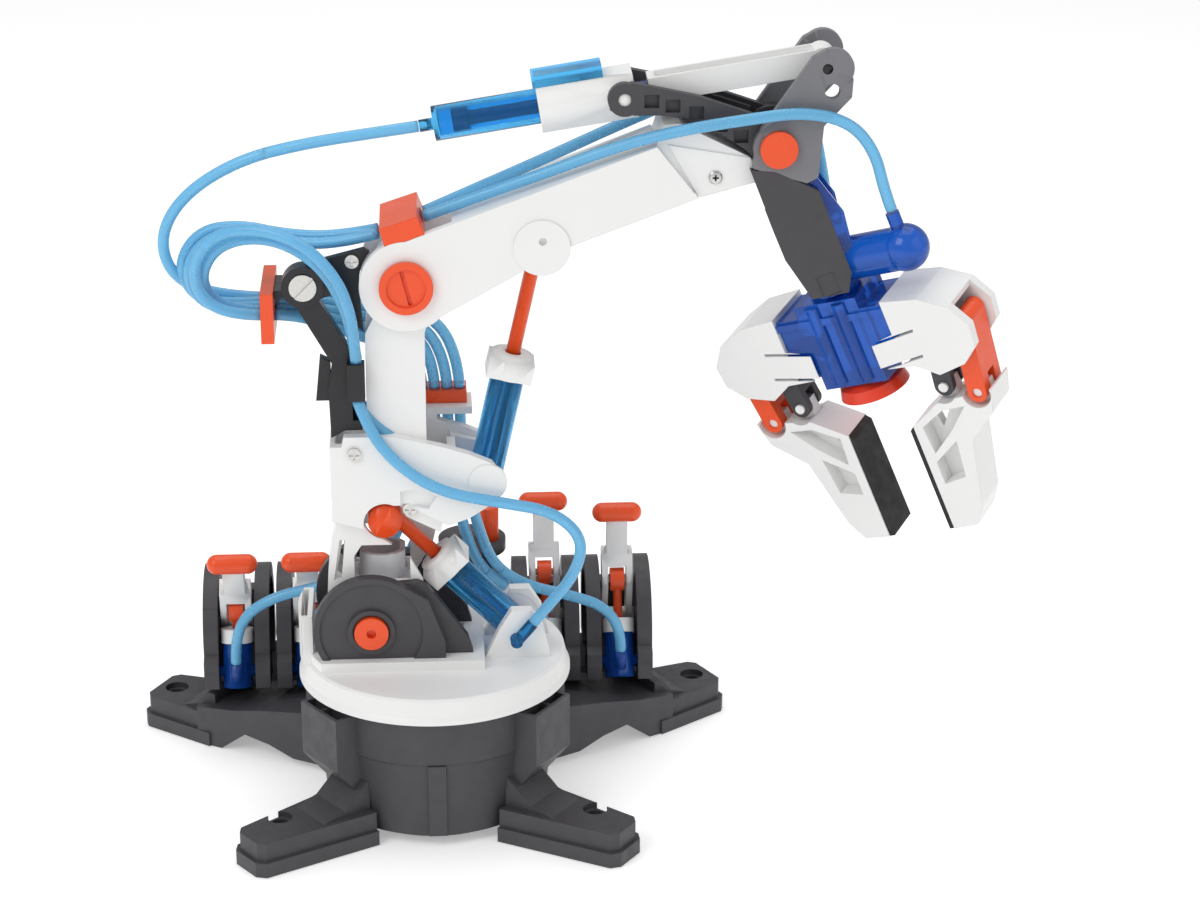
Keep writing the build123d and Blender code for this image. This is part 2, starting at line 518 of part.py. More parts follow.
# ---- hydraulic cylinders of the arm ----
def cylinder(base, tip, long, stroke_rod, rod_end, pins, collar_len=8.0):
    """A barrel with trunnion pins, its collar, the rod with a clearance eye, and the piston."""
    place = aim(base, tip)
    reach = distance(base, tip)
    bore = BARREL_R - 1.4
    barrel = Pos(0, 0, long / 2 - 3) * Cylinder(BARREL_R, long + 6)
    barrel -= Pos(0, 0, long / 2) * Cylinder(bore, long + 0.01)
    barrel += along_y(0, 0, 2.5, -pins, -bore) + along_y(0, 0, 2.5, bore, pins)
    barrel -= Pos(0, 0, long / 2 + 1) * Cylinder(bore, long - 2)
    collar = Pos(0, 0, long - collar_len / 2 + 1.5) * Box(18, 15.6, collar_len)
    collar += Pos(0, 0, long - collar_len / 2 + 1.5) * Cylinder(8.4, collar_len)
    collar -= Pos(0, 0, long - collar_len) * Cylinder(BARREL_R + 0.04, 2 * collar_len + 0.04)
    collar += Pos(0, 0, long + 2.2) * Cylinder(8.0, 2.4)
    collar -= Pos(0, 0, long) * Cylinder(ROD_R + 0.4, 30)
    piston_z = reach - stroke_rod
    rod = Pos(0, 0, (piston_z + reach) / 2) * Cylinder(ROD_R, reach - piston_z)
    rod += Pos(0, 0, reach) * (Rot(90, 0, 0) * Cylinder(rod_end, 7))
    rod -= Pos(0, 0, reach) * Rot(90, 0, 0) * Cylinder(rod_end - 2.0, 20)
    piston = Pos(0, 0, piston_z) * (Cylinder(bore - 0.4, 5) - Cylinder(ROD_R, 6))
    return place * barrel, place * collar, place * rod, place * piston


def wrist_cylinder():
    """The barrel lying on the upper arm, its white cradle, and the rod with its long bar."""
    place = aim(WRIST_TRUNNION, HEAD_PIN)
    bore = BARREL_R - 1.4
    barrel = Pos(0, 0, -35.5) * Cylinder(BARREL_R, 75) - Pos(0, 0, -34) * Cylinder(bore, 73)
    barrel += Pos(0, 0, -75.5) * Cylinder(2.4, 6)
    window = Pos(-10.8, 0, -20) * Box(4.6, 13, 27)
    cradle = Pos(0, 0, -14) * Box(17, 17, 37)
    cradle -= Pos(0, 0, -16.5) * Cylinder(BARREL_R + 0.04, 37.04)
    cradle += along_y(0, 0, 2.5, -13, -8) + along_y(0, 0, 2.5, 8, 13)
    cradle -= Pos(0, 0, 0) * Cylinder(ROD_R + 0.4, 12)
    reach = distance(WRIST_TRUNNION, HEAD_PIN)
    rod = Pos(0, 0, -26.5) * Cylinder(ROD_R, 73)
    bar = Pos(0, 0, (reach + 10) / 2) * Box(9.6, 12, reach - 10)
    bar -= Pos(-2.6, 0, (reach + 10) / 2) * Box(9.6, 8.6, reach - 16)
    bar += Pos(0, 0, reach) * Rot(90, 0, 0) * Cylinder(5.4, 12)
    bar -= Pos(0, 0, reach) * Rot(90, 0, 0) * Cylinder(3.5, 20)
    piston = Pos(0, 0, -62.5) * (Cylinder(bore - 0.4, 6) - Cylinder(ROD_R, 8))
    return place * barrel, place * window, place * cradle, place * rod, place * bar, \
        place * piston


# ---- head and gripper, in the hand's own frame: local x across, -z along the hand ----
HAND = Pos(WRIST[0], 0, WRIST[1]) * Rot(0, -HAND_TILT, 0)
GRIP = HAND * Rot(0, 0, -HAND_YAW)


def head_cheeks():
    cheek = plate([(127, 285.5), (146.5, 313.5), (152, 316.6), (158.5, 313.8), (161.8, 305),
                   (161.4, 298), (151.1, 287), (149.5, 267), (145.3, 264.8), (124, 271)],
                  -HEAD_OUT, -HEAD_IN, 1.5)
    cheek += along_y(*WRIST, 9.6, -HEAD_OUT, -HEAD_IN) + along_y(154.3, 309, 7.8, -HEAD_OUT,
                                                                -HEAD_IN)
    cheek -= HAND * hand_outline(-30, 30)
    cheek -= along_y(154, 300.4, 2.9, -20, 0)
    cheek -= along_y(*WRIST, PIN_R + RUN, -30, 0) + along_y(*HEAD_PIN, 2.0, -30, 0)
    return cheek, mirrored(cheek)


def hand_outline(y0, y1):
    return plate([(-13, -3.5), (-4.6, -7.8), (5, -18), (8.2, -22), (8, -57), (4.2, -64),
                  (-9.8, -61), (-13.8, -42)], y0, y1)


def hand_frame():
    """The dark chamfered casing below the wrist: two side plates and the wall behind."""
    near = hand_outline(-HEAD_OUT, -HEAD_IN)
    near += plate([(-13.8, -30), (-11.4, -30), (-11.4, -50), (-12.4, -50), (-13.8, -42)],
                  -HEAD_IN, 0)
    near -= Pos(-2, -HEAD_OUT, -58) * Box(7, 0.8, 9)
    return HAND * (near + mirrored(near)) - along_y(*WRIST, 8.4, -30, 30)


def head_pin():
    return along_y(*HEAD_PIN, 2.0, -HEAD_OUT + 0.4, HEAD_OUT - 0.4)


def wrist_housing():
    """The blue body in the head: it holds the gripper's turning shaft and its cylinder."""
    body = upright(0, 0, 10.4, -66, -34) + block(-10, 12, -12, 12, -48, -32)
    for y0, y1 in ((-HEAD_IN, -12), (12, HEAD_IN)):
        body += plate([(0, -20), (9, -16), (14, -34), (12, -50), (-6, -50), (-9, -32)], y0, y1)
    body += block(-6, 12, -12.1, 12.1, -40, -34)
    barrel = Rot(0, 0, -HAND_YAW) * along_x(0, -55.1, 8.6, 0, 36.6)
    dome = Rot(0, 0, -HAND_YAW) * (Pos(36.6, 0, -55.1) * Sphere(9.3))
    nozzle = Rot(0, 0, -HAND_YAW) * upright(36.6, 0, 2.7, -48, -40)
    port = along_y(11, -42, 2.4, 12, 22.6) + upright(11, 20.5, 2.4, -42, -34)
    body = body + barrel + dome + nozzle + port - upright(0, 0, 5 + RUN, -80, -52)
    return HAND * body - hand_frame()


def gripper_housing():
    """The blue gripper body, with the shaft that turns in the wrist housing."""
    body = block(-24, 24, -12, 12, -98, -72) + block(-14, 14, -12, 12, -104, -67)
    body += upright(0, 0, 5, -68, -53)
    for x in (-6, 6):
        body += upright(x, -11.5, 3, -102, -68) + upright(x, 11.5, 3, -102, -68)
    body += block(-24.3, 24.3, -13.2, 13.2, -76, -73)
    body -= upright(0, 0, 4, -110, -75)
    for sign in (-1, 1):
        body -= plate([(sign * 19.8, -98.2), (sign * 24.2, -98.2), (sign * 24.2, -94.2)], -13, 13)
    return GRIP * body


def gripper_box():
    return block(-24.4, 24.4, -13.3, 13.3, -98, -67) + block(-14.1, 14.1, -14.6, 14.6, -104, -67)


def suction_cup():
    cup = revolve(Plane.XZ * make_face(Polyline(
        (0, -101.5), (3.9, -101.5), (3.9, -104.2), (9, -104.6), (13.2, -107), (14.4, -111.6),
        (12.8, -111.6), (8, -107.8), (0, -107), close=True)), Axis.Z)
    return GRIP * cup


LINK_LONG = 30.0
DRIVE_TOP, FOLLOW_TOP = (37.0, -83.5), (51.0, -87.5)
LINK_LEAN = 7.6


def knuckle():
    """A white C-shaped housing on the gripper's side; the claw's links hang inside it."""
    sheet = [(24.5, -70), (40, -71.5), (52, -77), (58, -86), (57, -95), (50, -101.5),
             (38, -104.5), (29, -99), (10.5, -98.5), (10, -88), (24.5, -84.5)]
    shell = plate(sheet, -13.6, -9.4) + plate(sheet, 9.4, 13.6)
    shell += plate([(24.5, -70), (40, -71.5), (52, -77), (51, -79.6), (39.5, -74.4),
                    (24.5, -72.8)], -9.5, 9.5)
    shell -= plate([(8, -86), (26.4, -86), (26.4, -99.5), (8, -99.5)], -12.2, 12.2)
    for z in (-86.4, -97.6):
        shell -= plate([(8, z - 2.4), (34, z + 1.6), (34, z + 2.8), (8, z - 1.2)], -14, 14)
    for x, z in (DRIVE_TOP, FOLLOW_TOP):
        shell += along_y(x, z, 2.4, -10, 10)
    return shell


def grip_link(top, half, y_gap):
    """One of the two parallel links that carry a claw."""
    lean = math.radians(LINK_LEAN)
    low = (top[0] - LINK_LONG * math.sin(lean), top[1] - LINK_LONG * math.cos(lean))
    shape = link(top, low, 4.0, -half, half) - along_y(*top, 2.4 + RUN, -20, 20)
    return shape - along_y(*low, 2.0 + RUN, -20, 20) - plate(
        [(low[0] - 9, low[1] - 9), (low[0] + 9, low[1] - 9), (low[0] + 9, low[1] + 6),
         (low[0] - 9, low[1] + 6)], -y_gap, y_gap)


def claw():
    """A white claw with cut-outs, and the rubber pad on its flat inner side."""
    lean = math.radians(LINK_LEAN)
    shift = -LINK_LONG * math.sin(lean), -LINK_LONG * math.cos(lean)
    a = DRIVE_TOP[0] + shift[0], DRIVE_TOP[1] + shift[1]
    b = FOLLOW_TOP[0] + shift[0], FOLLOW_TOP[1] + shift[1]
    body = plate([(15, -127), (29, -118.5), (a[0] + 3, -117.6), (b[0] + 7, -116), (b[0] + 4, -126),
                  (38, -137), (31, -166), (26, -174), (15, -174.5)], -9, 9)
    body -= plate([(19, -128), (30, -122), (40, -121.5), (31, -131), (20, -140)], -10, -2)
    body -= plate([(19, -128), (30, -122), (40, -121.5), (31, -131), (20, -140)], 2, 10)
    body -= plate([(19, -144), (31, -136), (29, -152), (19, -154)], -10, -2)
    body -= plate([(19, -144), (31, -136), (29, -152), (19, -154)], 2, 10)
    body -= plate([(23, -126), (30, -124), (24, -132)], -3, 3)
    for x, z in (a, b):
        body -= along_y(x, z, 6.0, -10, 10)
        body += plate([(x - 3.6, z - 8), (x + 3.6, z - 8), (x + 3, z + 2), (x - 3, z + 2)],
                      -2.6, 2.6)
        body += along_y(x, z, 2.0, -7, 7)
    pad = plate([(12.8, -129), (15, -127), (15, -174.5), (12.8, -174.5)], -8.5, 8.5)
    return body, pad


def both_sides(shape):
    """A shape of the gripper's right side and its mirror image, placed on the hand."""
    return GRIP * shape, GRIP * mirror(shape, about=Plane.YZ)


# ---- hoses ----
HOSES = {
    "hoses_console": [
        [(-84, 47.6, 39.8), (-84, 46.6, 50), (-79, 46, 63), (-66, 45.5, 71), (-50, 45.5, 74.5),
         (-33, 45, 79), (-21, 42, 95), (-14, 35, 119), (-8.6, 25, 143), (-7.8, 22, 163)],
        [(-53, 47.6, 39.8), (-53, 46.6, 49), (-50, 45, 61), (-40, 43, 73), (-26, 41.6, 82),
         (-15.6, 39.4, 98), (-8.5, 33, 121), (-3.4, 25, 144), (-2.8, 22, 163)],
        [(-22, 50.5, 43.1), (-22, 52.6, 53), (-21, 54.4, 64), (-16.6, 51, 76), (-10, 44.6, 88),
         (-4.4, 37, 106), (-0.6, 29, 126), (1.8, 23.6, 146), (2.2, 22, 163)],
        [(48, 47.9, 42.8), (48, 46.6, 53), (43, 44.4, 65), (31, 42.4, 74), (19.6, 40.6, 84),
         (13.6, 37.4, 101), (10, 30.6, 123), (7.6, 24, 145), (7.2, 22, 163)],
        [(79, 47.6, 41.5), (79, 46.6, 51), (72, 45.4, 63), (57, 44.4, 69), (39, 43.6, 74),
         (25.6, 42, 84), (19.4, 37.6, 102), (15, 30.4, 124), (12.6, 24.4, 145),
         (12.2, 22, 163)]],
    "hoses_arm": [
        [(-7.8, 22, 171.2), (-8.2, 21.8, 179), (-13.4, 20.4, 188.4), (-25.6, 17, 195),
         (-38, 8.6, 202), (-49, 1, 209.4), (-58.8, -2, 211)],
        [(-2.8, 22, 171.2), (-3.2, 22, 180), (-9.4, 21.4, 191.4), (-23, 18.6, 198.6),
         (-38, 11.4, 204.6), (-49, 5.2, 210), (-58.8, 3.5, 211)],
        [(2.2, 22, 171.2), (1.8, 22.2, 181), (-4.6, 22.4, 194), (-20, 20.6, 201.4),
         (-37, 14.4, 206.6), (-48.6, 10, 210.4), (-58.8, 9, 211)],
        [(7.2, 22, 171.2), (6.8, 22.4, 181), (0, 23.2, 196), (-17, 22.6, 204),
         (-36, 18.4, 208.6), (-48.6, 15.2, 211), (-58.8, 14.5, 211)],
        [(12.2, 22, 171.2), (11.8, 22.6, 182), (4.6, 24.2, 198.6), (-14, 24.8, 206.8),
         (-35, 22.8, 211), (-48.6, 20.4, 211.6), (-58.8, 20, 211)],
        [(39.7, -16.6, 84.1), (45.6, -16.8, 91.4), (56.4, -17.6, 105), (60, -19.2, 121),
         (48, -20.8, 133.6), (28, -21.4, 138), (4, -21.6, 143), (-13.6, -21, 155),
         (-24, -18.4, 169), (-27.9, -14.6, 179.8)],
        [(-2, -11, 157.6), (-11.6, -12, 160.6), (-20.6, -12, 167.4), (-25.6, -11.2, 173.4),
         (-27.9, -10.2, 179.8)],
        [(-27.9, -14.6, 195.2), (-28.4, -16.4, 205), (-29.6, -21, 218), (-34, -24, 232),
         (-45, -22, 244.6), (-61, -16, 249.6), (-77, -9.6, 247.6), (-88, -5, 237),
         (-89.6, -3, 222.6), (-79.4, -2, 211.4), (-64.2, -2, 211)],
        [(-27.9, -10.2, 195.2), (-28.8, -12.6, 204), (-31.8, -15.6, 219), (-39.6, -16, 234),
         (-53, -12.4, 243), (-68, -6.4, 244), (-81.6, -1.6, 238), (-88, 1.6, 224),
         (-79.6, 3.5, 211.4), (-64.2, 3.5, 211)]],
    "hoses_hand": [
        [(-18.2, -2.8, 243.4), (-34, -1.4, 239), (-53, 3.4, 238.4), (-70, 7.4, 241.4),
         (-85.6, 9, 239), (-94, 9, 225.5), (-87.4, 9, 211.6), (-73, 9, 210.4), (-64.2, 9, 211)],
        [(-18.2, 3.5, 243.4), (-34, 5.4, 239.8), (-54, 9.8, 239.6), (-72, 13, 243),
         (-88, 14.5, 240.4), (-97, 14.5, 226.6), (-90.4, 14.5, 212.2), (-75, 14.5, 210.4),
         (-64.2, 14.5, 211)],
        [(-1.9, 0, 284.7), (-18, 0.2, 282.4), (-44, 1, 278.6), (-70, 3, 272), (-92, 6.6, 258),
         (-103, 11.4, 240), (-100, 16, 222), (-84, 19.4, 212.4), (-64.2, 20, 211)],
        [(-0.6, -3, 249.9), (16, -5, 256.6), (46, -9.6, 268.2), (76, -14, 280.4),
         (99, -17.6, 286.6), (121, -20.4, 290.6), (143, -22.6, 294), (160.6, -22, 289.6),
         (170.4, -21, 277.6), (174.6, -20.2, 262), (177.6, -19.9, 254.4)],
        [(-0.6, 3.5, 249.9), (16, 5.4, 256.6), (46, 10, 268.2), (76, 15, 280.4),
         (99, 19, 288.6), (120, 22.4, 295), (138, 23.8, 296.4), (150, 23.2, 285),
         (154.6, 21.6, 268), (157.2, 20.5, 252.2)]],
}


def hose(points):
    """A round hose: straight runs joined by arcs as large as the runs allow."""
    corners = [Vector(*point) for point in points]
    radii = []
    for before, corner, after in zip(corners, corners[1:], corners[2:]):
        shorter = min((corner - before).length, (after - corner).length)
        turn = (corner - before).get_angle(after - corner)
        radii.append(0.45 * shorter / math.tan(math.radians(turn / 2)))
    path = FilletPolyline(*points, radius=radii)
    print(f"hose {path.length:6.1f} mm, radii", " ".join(f"{r:.0f}" for r in radii))
    start = Plane(origin=path @ 0, z_dir=path % 0)
    return sweep(start * Circle(HOSE_R), path=path)


def write_parts():
    save("base_drum", *base_drum())
    save("bottom_cover", bottom_cover())
    save("front_feet", *front_feet())
    save("rear_wings", *rear_wings())
    save("console_base", console_base())
    save("lever_housings", *[lever_housing(x) for x in STATIONS])
    save("crank", *crank())
    for number, (x, angle) in enumerate(zip(STATIONS, LEVER_REST), 1):
        barrel, collar, rod, piston = control_cylinder(x, angle)
        save(f"lever_{number}", *lever(x, angle))
        save(f"control_barrel_{number}", barrel, collar)
        save(f"control_rod_{number}", rod, piston)
    save("turntable", turntable())
    for node, routes in HOSES.items():
        save(node, *[hose(route) for route in routes])
    save("bearing_blocks", *bearing_blocks())
    save("shoulder_pin", shoulder_pin())
    save("lower_shells", *lower_shells())
    save("lower_core", lower_core())
    save("elbow_bracket", elbow_bracket())
    save("hose_guide", hose_guide())
    save("hose_combs", *hose_combs())
    save("arm_screws", *arm_screws())
    save("elbow_pin", elbow_pin())
    save("upper_shells", *upper_shells())
    save("end_block", end_block())
    save("wrist_bracket", wrist_bracket())
    save("hose_clip", hose_clip())
    save("wrist_pin", wrist_pin())
    save("head_cheeks", *head_cheeks(), head_pin())
    save("hand_frame", hand_frame())
    save("wrist_housing", wrist_housing())
    save("gripper_housing", gripper_housing())
    save("suction_cup", suction_cup())
    save("gripper_knuckles", *both_sides(knuckle() - gripper_box()))
    drive, follow = grip_link(DRIVE_TOP, 6.0, 3.0), grip_link(FOLLOW_TOP, 8.0, 3.0)
    body, pad = claw()
    for name, shape in (("drive_link", drive), ("follow_link", follow), ("claw", body),
                        ("claw_pad", pad)):
        for hand, placed in zip(("right", "left"), both_sides(shape)):
            save(f"{name}_{hand}", placed)
    barrel, collar, rod, piston = cylinder(SHOULDER_TRUNNION, SHOULDER_EYE, 42, 46, 6.0, 13.5)
    rod += along_y(*SHOULDER_EYE, EYE_DISC_R, -15.6, 8.0)
    rod -= along_y(*SHOULDER_EYE, 4.0, -10.4, 10)
    x, z = SHOULDER_TRUNNION
    port = along_y(x, z, 2.4, -18.2, -13.4)
    port += Pos(x, -16.6, z) * Rot(0, 40, 0) * Pos(0, 0, 5) * Cylinder(2.4, 10)
    save("shoulder_barrel", barrel + port, collar)
    save("shoulder_rod", rod, piston)
    barrel, collar, rod, piston = cylinder(ELBOW_TRUNNION, ELBOW_EYE, 46, 60.4, 6.2, 12.3)
    save("elbow_barrel", barrel, collar)
    save("elbow_rod", rod, piston)
    barrel, window, cradle, rod, bar, piston = wrist_cylinder()
    save("wrist_barrel", barrel, window, cradle)
    save("wrist_rod", rod, bar, piston)


write_parts()
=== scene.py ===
import json
import math

import bmesh
import bpy
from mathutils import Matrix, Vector


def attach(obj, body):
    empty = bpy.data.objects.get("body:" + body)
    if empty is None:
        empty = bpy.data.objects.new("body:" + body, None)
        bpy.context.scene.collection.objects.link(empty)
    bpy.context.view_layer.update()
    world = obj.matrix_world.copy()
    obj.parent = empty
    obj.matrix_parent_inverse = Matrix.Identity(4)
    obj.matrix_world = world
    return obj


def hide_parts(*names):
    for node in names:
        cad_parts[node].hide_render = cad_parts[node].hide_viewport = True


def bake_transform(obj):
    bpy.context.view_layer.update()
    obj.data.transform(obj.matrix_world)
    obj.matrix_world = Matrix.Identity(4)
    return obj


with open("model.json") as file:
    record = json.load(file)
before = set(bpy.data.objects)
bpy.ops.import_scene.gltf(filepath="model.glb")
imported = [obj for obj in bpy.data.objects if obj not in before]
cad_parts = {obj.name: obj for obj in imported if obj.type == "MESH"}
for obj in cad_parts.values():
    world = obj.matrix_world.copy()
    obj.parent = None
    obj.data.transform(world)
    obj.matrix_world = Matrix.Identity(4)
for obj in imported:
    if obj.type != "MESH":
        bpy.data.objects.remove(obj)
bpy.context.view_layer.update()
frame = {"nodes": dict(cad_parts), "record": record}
MM = 0.001

# ---- driving values, millimetres unless a comment says otherwise ----
HOSE_D = 4.5
HOSE_SIDES = 20
EDGE = 0.35               # rounding that the plastics' edges are shaded with
CLEAR_EDGE = 0.25         # the same for the clear plastics
SCREW_EDGE = 0.15         # and for the screws
SCREW_R = 2.6
SCREW_SIDES = 28
SHARP_ANGLE = 32          # degrees, above which an edge stays sharp
HOSE_SPLIT_Z = 82         # where a console hose passes from its lower to its upper piece
LOOP_SPLIT_X = -60        # where the wrist hose is split
HAND_BEND_X = 118         # a hand hose's first point past this x is found, but not used
HANDLE_WIDE = 19          # the sizes that tell the solids of one CAD node apart
HANDLE_TALL = 15
CONTROL_BARREL_WIDE = 20
CONTROL_PISTON_WIDE = 8.5
COLLAR_DEEP = 18
CRADLE_DEEP = 20
WRIST_BAR_X = 100
CHEEK_PIN_Y = 5
CRANK_DISC_WIDE = 20
FLOOR_HALF = 6000         # half the width of the floor
FLOOR_DROP = 0.3          # gap under the feet, so the two faces don't flicker
FLOOR_GLOW = 0.32         # lifts the floor to the even white of a cut-out ground
WORLD_LIGHT = 0.55
CAMERA_AT = (1.46, -1116.54, 580.73)
CAMERA_DOWN = 21.24       # degrees below the horizon
CAMERA_RIGHT = 3.38       # degrees turned from +Y towards +X
CAMERA_LENS = 90.33       # on a sensor 36 wide


# ---- materials ----
def socket(shader, name, value):
    shader.inputs[name].default_value = value


def new_material(name, color, rough, edge=EDGE):
    """A principled material whose edges are shaded round. Returns its nodes and links."""
    material = bpy.data.materials.new(name)
    material.use_nodes = True
    tree = material.node_tree
    shader = tree.nodes["Principled BSDF"]
    socket(shader, "Base Color", (*color, 1))
    socket(shader, "Roughness", rough)
    where = tree.nodes.new("ShaderNodeTexCoord")
    bevel = tree.nodes.new("ShaderNodeBevel")
    bevel.samples = 4
    bevel.inputs["Radius"].default_value = edge * MM
    tree.links.new(bevel.outputs["Normal"], shader.inputs["Normal"])
    return material, tree, shader, where, bevel


def grain(tree, where, bevel, shader, scale, strength, depth):
    """Fine moulded grain on the surface."""
    noise = tree.nodes.new("ShaderNodeTexNoise")
    noise.inputs["Scale"].default_value = scale
    noise.inputs["Detail"].default_value = 4
    bump = tree.nodes.new("ShaderNodeBump")
    bump.inputs["Strength"].default_value = strength
    bump.inputs["Distance"].default_value = depth * MM
    tree.links.new(where.outputs["Object"], noise.inputs["Vector"])
    tree.links.new(noise.outputs["Fac"], bump.inputs["Height"])
    tree.links.new(bevel.outputs["Normal"], bump.inputs["Normal"])
    tree.links.new(bump.outputs["Normal"], shader.inputs["Normal"])


def mottle(tree, where, shader, name, low, high, scale):
    """Varies one value of the shader softly over the surface."""
    noise = tree.nodes.new("ShaderNodeTexNoise")
    noise.inputs["Scale"].default_value = scale
    noise.inputs["Detail"].default_value = 3
    ramp = tree.nodes.new("ShaderNodeMapRange")
    ramp.inputs["From Min"].default_value = 0.3
    ramp.inputs["From Max"].default_value = 0.7
    ramp.inputs["To Min"].default_value = low
    ramp.inputs["To Max"].default_value = high
    tree.links.new(where.outputs["Object"], noise.inputs["Vector"])
    tree.links.new(noise.outputs["Fac"], ramp.inputs["Value"])
    tree.links.new(ramp.outputs["Result"], shader.inputs[name])


def tint(tree, where, shader, color, other, scale):
    """Shifts the colour softly between two close tones."""
    noise = tree.nodes.new("ShaderNodeTexNoise")
    noise.inputs["Scale"].default_value = scale
    mix = tree.nodes.new("ShaderNodeMix")
    mix.data_type = "RGBA"
    mix.inputs["A"].default_value = (*color, 1)
    mix.inputs["B"].default_value = (*other, 1)
    tree.links.new(where.outputs["Object"], noise.inputs["Vector"])
    tree.links.new(noise.outputs["Fac"], mix.inputs["Factor"])
    tree.links.new(mix.outputs["Result"], shader.inputs["Base Color"])


def plastic(name, color, rough, texture=0.25, scale=2600, spread=0.12, depth=0.04):
    material, tree, shader, where, bevel = new_material(name, color, rough)
    other = [min(1, c * (1 - spread)) for c in color]
    tint(tree, where, shader, color, other, 60)
    mottle(tree, where, shader, "Roughness", rough * 0.85, min(1, rough * 1.2), 180)
    grain(tree, where, bevel, shader, scale, texture, depth)
    return material


def clear_plastic(name, color, rough, through, bend=1.45):
    material, tree, shader, where, bevel = new_material(name, color, rough, CLEAR_EDGE)
    socket(shader, "Transmission Weight", through)
    socket(shader, "IOR", bend)
    mottle(tree, where, shader, "Roughness", rough * 0.8, rough * 1.5, 240)
    return material


def metal(name, color, rough):
    material, tree, shader, where, bevel = new_material(name, color, rough, SCREW_EDGE)
    socket(shader, "Metallic", 1.0)
    mottle(tree, where, shader, "Roughness", rough * 0.7, rough * 1.5, 900)
    grain(tree, where, bevel, shader, 3000, 0.1, 0.02)
    return material


WHITE = plastic("white_plastic", (0.86, 0.86, 0.85), 0.38, 0.12, 2200, 0.03)
GREY = plastic("grey_plastic", (0.058, 0.055, 0.062), 0.5, 0.5, 2400, 0.2)
BLACK = plastic("black_plastic", (0.010, 0.010, 0.013), 0.36, 0.25, 2400, 0.2)
ORANGE = plastic("orange_plastic", (0.90, 0.085, 0.012), 0.3, 0.12, 1800, 0.1)
# The head cheeks are the same dark grey plastic as the hand block: this lighter grey is a
# painted highlight, the light that falls on them.
GREY_PAINTED_HIGHLIGHT = plastic("silver_plastic", (0.20, 0.20, 0.215), 0.42, 0.35, 2600, 0.15)
PALE = plastic("pale_plastic", (0.58, 0.58, 0.60), 0.3, 0.12, 2000, 0.06)
RUBBER = plastic("pad_rubber", (0.02, 0.02, 0.02), 0.7, 0.5, 1500, 0.2)
CUP = plastic("cup_rubber", (0.83, 0.045, 0.012), 0.28, 0.12, 1200, 0.12)
PISTON = plastic("piston_blue", (0.006, 0.016, 0.16), 0.25, 0.12, 1200, 0.2)
BARREL = clear_plastic("clear_barrel", (0.10, 0.52, 0.92), 0.05, 0.9, 1.2)
BODY = clear_plastic("clear_body", (0.010, 0.12, 0.60), 0.1, 0.6)
HOSE = clear_plastic("hose_vinyl", (0.20, 0.60, 0.92), 0.2, 0.35)
STEEL = metal("steel_screw", (0.62, 0.61, 0.59), 0.26)

SLOT_OF = {"white_plastic": WHITE, "grey_plastic": GREY, "black_plastic": BLACK,
           "orange_plastic": ORANGE, "silver_plastic": GREY_PAINTED_HIGHLIGHT, "pale_plastic": PALE,
           "pad_rubber": RUBBER, "cup_rubber": CUP, "piston_blue": PISTON,
           "blue_clear_plastic": BARREL, "blue_hose": HOSE, "steel_screw": STEEL}


def dress_nodes():
    """Gives each CAD node the material of its slot in the record."""
    for part in frame["record"]["subparts"]:
        data = frame["nodes"][part["node"]].data
        data.materials.clear()
        data.materials.append(SLOT_OF[part["material_slot"]])
    for node in ("wrist_housing", "gripper_housing"):
        frame["nodes"][node].data.materials[0] = BODY


# ---- pieces that stand for CAD nodes of several colours ----
def solids_of(node):
    """The separate solids of a CAD node, each as a clean bmesh, largest first."""
    mesh = bmesh.new()
    mesh.from_mesh(frame["nodes"][node].data)
    bmesh.ops.remove_doubles(mesh, verts=mesh.verts, dist=1e-6)
    mesh.verts.ensure_lookup_table()
    seen = set()
    groups = []
    for start in mesh.verts:
        if start.index in seen:
            continue
        seen.add(start.index)
        group, queue = [], [start]
        while queue:
            vertex = queue.pop()
            group.append(vertex.index)
            for edge in vertex.link_edges:
                other = edge.other_vert(vertex)
                if other.index not in seen:
                    seen.add(other.index)
                    queue.append(other)
        groups.append(set(group))
    solids = []
    for group in groups:
        solid = mesh.copy()
        solid.verts.ensure_lookup_table()
        gone = [v for v in solid.verts if v.index not in group]
        bmesh.ops.delete(solid, geom=gone, context="VERTS")
        solids.append(solid)
    mesh.free()
    return sorted(solids, key=lambda s: -abs(s.calc_volume()))


def solid_box(solid):
    low = Vector([min(v.co[i] for v in solid.verts) for i in range(3)])
    high = Vector([max(v.co[i] for v in solid.verts) for i in range(3)])
    return low, high


def shown(name, mesh, material, body):
    """Turns a bmesh into a piece on a body."""
    data = bpy.data.meshes.new(name)
    mesh.to_mesh(data)
    mesh.free()
    data.materials.append(material)
    data.shade_smooth()
    data.set_sharp_from_angle(angle=math.radians(SHARP_ANGLE))
    piece = bpy.data.objects.new(name, data)
    bpy.context.scene.collection.objects.link(piece)
    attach(piece, body)
    return piece


def split_node(node, body, choose):
    """Shows a node's solids as pieces, each with the material that choose gives."""
    for number, solid in enumerate(solids_of(node)):
        low, high = solid_box(solid)
        material, slot = choose(number, low, high)
        piece = shown(f"{node}_piece_{number}", solid, material, body)
        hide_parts(node)


def levers():
    def lever_part(index, low, high):
        handle = high.x - low.x > HANDLE_WIDE * MM and high.z - low.z < HANDLE_TALL * MM
        return (ORANGE, "orange_plastic") if handle else (WHITE, "white_plastic")

    for number in range(1, 6):
        split_node(f"lever_{number}", f"lever_{number}", lever_part)


def control_cylinders():
    def barrel_part(index, low, high):
        blue = high.x - low.x > CONTROL_BARREL_WIDE * MM
        return (BODY, "blue_clear_plastic") if blue else (WHITE, "white_plastic")

    def rod_part(index, low, high):
        piston = high.x - low.x > CONTROL_PISTON_WIDE * MM
        return (PISTON, "blue_clear_plastic") if piston else (ORANGE, "orange_plastic")

    for number in range(1, 6):
        split_node(f"control_barrel_{number}", f"control_{number}_barrel", barrel_part)
        split_node(f"control_rod_{number}", f"control_{number}_rod", rod_part)


